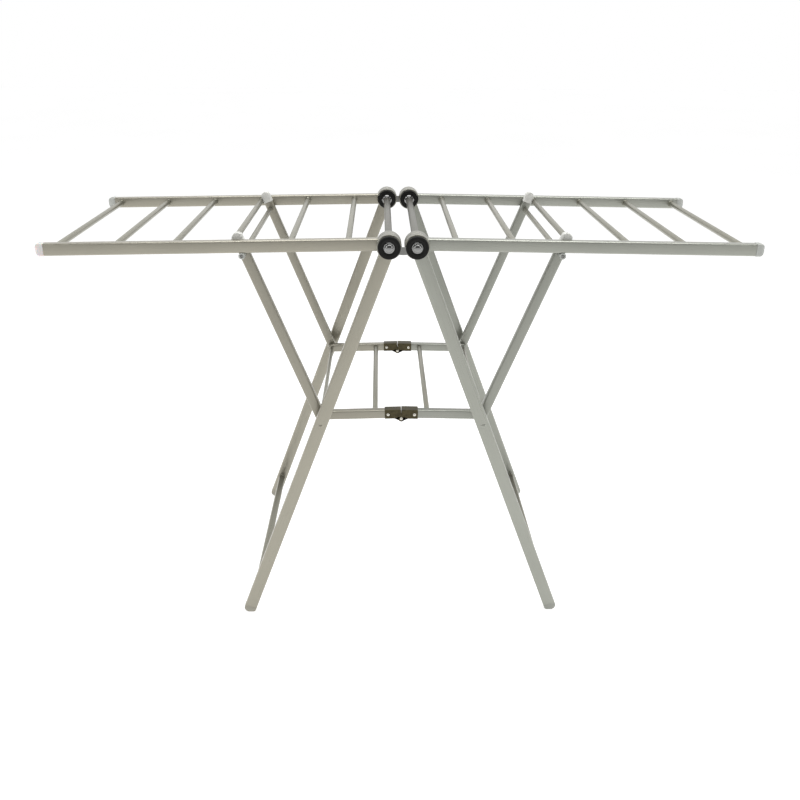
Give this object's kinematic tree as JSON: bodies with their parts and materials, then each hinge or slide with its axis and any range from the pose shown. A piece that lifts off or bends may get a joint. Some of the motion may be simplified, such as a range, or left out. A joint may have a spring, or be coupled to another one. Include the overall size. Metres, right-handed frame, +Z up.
{
  "type": "clothes drying rack",
  "caption": "Folding gull-wing clothes airer: splayed legs on twin hub axes, two hinged wings of drying rods on swinging struts, and a folding centre brace.",
  "frame": {"origin": "on the floor, at the middle of the four feet, below the point midway between the hub axes", "axes": "+X along the wings, +Y from front to rear along the drying rods, +Z up"},
  "size_m": [1.493, 0.6122, 0.9096],
  "materials": {
    "tube": "satin champagne grey anodised, fine lengthwise grain",
    "hub_metal": "satin anodised, slightly brighter",
    "rod": "satin anodised round bar",
    "bright": "polished bolts and domed nuts",
    "disc": "black moulded disc with a recess",
    "leaf": "dark bronze hinge leaves",
    "cap": "pale grey moulded caps",
    "plug": "moulded foot plugs in the colour of the tubes",
    "link": "dark steel link plate"
  },
  "bodies": {
    "hub": {"hub_link_front": "link", "hub_disc_front_left": "disc", "hub_bolt_front_left": "bright", "hub_disc_front_right": "disc", "hub_bolt_front_right": "bright", "hub_link_rear": "link", "hub_disc_rear_left": "disc", "hub_bolt_rear_left": "bright", "hub_disc_rear_right": "disc", "hub_bolt_rear_right": "bright", "top_tube_left": "hub_metal", "top_tube_right": "hub_metal"},
    "legs_left": {"leg_front_left": "tube", "foot_cap_front_left": "plug", "leg_rear_left": "tube", "foot_cap_rear_left": "plug", "foot_bar_left": "tube", "pivot_rod_left": "rod"},
    "wing_left": {"rail_front_left": "tube", "rail_cap_front_left": "cap", "rail_rear_left": "tube", "rail_cap_rear_left": "cap", "drying_rod_left_1": "rod", "drying_rod_left_2": "rod", "drying_rod_left_3": "rod", "drying_rod_left_4": "rod", "drying_rod_left_5": "rod", "drying_rod_left_6": "rod"},
    "struts_left": {"strut_front_left": "tube", "strut_rear_left": "tube", "wing_rest_bar_left": "rod"},
    "brace_left": {"brace_bar_front_left": "tube", "hinge_leaf_front_left": "leaf", "brace_bar_rear_left": "tube", "hinge_leaf_rear_left": "leaf", "brace_rod_left": "rod"},
    "legs_right": {"leg_front_right": "tube", "foot_cap_front_right": "plug", "leg_rear_right": "tube", "foot_cap_rear_right": "plug", "foot_bar_right": "tube", "pivot_rod_right": "rod"},
    "wing_right": {"rail_front_right": "tube", "rail_cap_front_right": "cap", "rail_rear_right": "tube", "rail_cap_rear_right": "cap", "drying_rod_right_1": "rod", "drying_rod_right_2": "rod", "drying_rod_right_3": "rod", "drying_rod_right_4": "rod", "drying_rod_right_5": "rod", "drying_rod_right_6": "rod"},
    "struts_right": {"strut_front_right": "tube", "strut_rear_right": "tube", "wing_rest_bar_right": "rod"},
    "brace_right": {"brace_bar_front_right": "tube", "hinge_leaf_front_right": "leaf", "brace_bar_rear_right": "tube", "hinge_leaf_rear_right": "leaf", "brace_rod_right": "rod"}
  },
  "joints": [
    {"name": "leg_right_fold", "type": "hinge", "parent": "hub", "child": "legs_right", "pos_m": [0.0285, 0, 0.884], "axis": [0, 1, 0], "range_deg": [0, 17.75]},
    {"name": "brace_right_fold", "type": "hinge", "parent": "legs_right", "child": "brace_right", "pos_m": [0.1789, 0, 0.48703], "axis": [0, 1, 0], "range_deg": [0, 57.88]},
    {"name": "wing_right_lift", "type": "hinge", "parent": "legs_right", "child": "wing_right", "pos_m": [0.0285, 0, 0.884], "axis": [0, -1, 0], "range_deg": [0, 88]},
    {"name": "strut_right_swing", "type": "hinge", "parent": "legs_right", "child": "struts_right", "pos_m": [0.1789, 0, 0.48703], "axis": [0, -1, 0], "range_deg": [0, 35.25]},
    {"name": "leg_left_fold", "type": "hinge", "parent": "hub", "child": "legs_left", "pos_m": [-0.0285, 0, 0.884], "axis": [0, -1, 0], "range_deg": [0, 17.75]},
    {"name": "brace_left_fold", "type": "hinge", "parent": "legs_left", "child": "brace_left", "pos_m": [-0.1789, 0, 0.48703], "axis": [0, -1, 0], "range_deg": [0, 57.88]},
    {"name": "wing_left_lift", "type": "hinge", "parent": "legs_left", "child": "wing_left", "pos_m": [-0.0285, 0, 0.884], "axis": [0, 1, 0], "range_deg": [0, 88]},
    {"name": "strut_left_swing", "type": "hinge", "parent": "legs_left", "child": "struts_left", "pos_m": [-0.1789, 0, 0.48703], "axis": [0, 1, 0], "range_deg": [0, 35.25]}
  ],
  "couplings": [
    {"joint": "leg_left_fold", "follows": "leg_right_fold", "ratio": 1},
    {"joint": "brace_right_fold", "follows": "leg_right_fold", "ratio": 3.2604},
    {"joint": "brace_left_fold", "follows": "leg_right_fold", "ratio": 3.2604},
    {"joint": "strut_right_swing", "follows": "wing_right_lift", "ratio": 0.4},
    {"joint": "strut_left_swing", "follows": "wing_left_lift", "ratio": 0.4}
  ]
}
